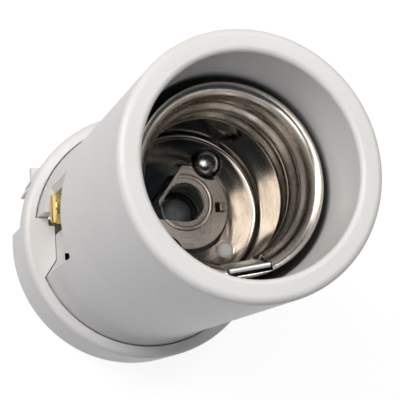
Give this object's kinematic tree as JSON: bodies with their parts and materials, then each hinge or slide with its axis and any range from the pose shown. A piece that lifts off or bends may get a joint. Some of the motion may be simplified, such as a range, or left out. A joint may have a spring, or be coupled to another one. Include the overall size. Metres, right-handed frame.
{
  "type": "porcelain lamp holder",
  "caption": "Deep-collar porcelain lamp holder with a rolled screw shell, sprung centre contact, lamp lock spring and two screw terminals behind side windows.",
  "frame": {"origin": "centre of the base's underside", "axes": "+Z out of the lamp mouth along the axis; the two wiring windows face -X and +X"},
  "size_m": [0.0678, 0.0678, 0.102],
  "materials": {
    "glazed_porcelain": "thin semi-matt glaze",
    "nickel_plate": "bright nickel plate, slightly brown",
    "dark_steel": "oiled dark steel",
    "zinc_steel": "zinc plated",
    "spring_steel": "bright spring steel",
    "brass": "bright brass"
  },
  "bodies": {
    "holder": {"porcelain_body": "glazed_porcelain", "porcelain_base": "glazed_porcelain", "screw_shell": "nickel_plate", "shell_rivets": "nickel_plate", "shell_washers": "zinc_steel", "contact_guide": "nickel_plate", "centre_spring": "dark_steel", "centre_screw": "dark_steel", "centre_washer": "zinc_steel", "centre_nut": "zinc_steel", "centre_strip": "brass", "shell_strip": "brass", "line_terminal_plate": "brass", "neutral_terminal_plate": "brass", "body_screws": "zinc_steel", "body_washers": "zinc_steel", "body_nuts": "zinc_steel"},
    "contact": {"centre_contact": "nickel_plate"},
    "lamp_lock": {"lamp_lock_spring": "spring_steel", "lamp_lock_rivet": "nickel_plate"},
    "line_clamp": {"line_clamp_plate": "brass"},
    "line_screw": {"line_terminal_screw": "brass"},
    "neutral_clamp": {"neutral_clamp_plate": "brass"},
    "neutral_screw": {"neutral_terminal_screw": "brass"}
  },
  "joints": [
    {"name": "contact_press", "type": "slide", "parent": "holder", "child": "contact", "axis": [0, 0, -1], "range_m": [0, 0.0024], "stiffness_N_per_m": 2500, "springref_m": -0.002, "deforming": ["centre_spring"]},
    {"name": "lock_flex", "type": "hinge", "parent": "holder", "child": "lamp_lock", "pos_m": [0.0032, -0.0202, 0.06], "axis": [0.9877, 0.1564, 0], "range_deg": [0, 1.2], "stiffness_Nm_per_rad": 4, "springref_deg": -2.86},
    {"name": "line_clamp_travel", "type": "slide", "parent": "holder", "child": "line_clamp", "axis": [-1, 0, 0], "range_m": [0, 0.0014]},
    {"name": "line_screw_turn", "type": "hinge", "parent": "line_clamp", "child": "line_screw", "pos_m": [-0.0244, 0.0043, 0.0305], "axis": [-1, 0, 0], "range_deg": [0, 720]},
    {"name": "neutral_clamp_travel", "type": "slide", "parent": "holder", "child": "neutral_clamp", "axis": [1, 0, 0], "range_m": [0, 0.0014]},
    {"name": "neutral_screw_turn", "type": "hinge", "parent": "neutral_clamp", "child": "neutral_screw", "pos_m": [0.0244, -0.0043, 0.0305], "axis": [1, 0, 0], "range_deg": [0, 720]}
  ],
  "couplings": [
    {"joint": "line_screw_turn", "follows": "line_clamp_travel", "rad_per_m": 8976},
    {"joint": "neutral_screw_turn", "follows": "neutral_clamp_travel", "rad_per_m": 8976}
  ]
}
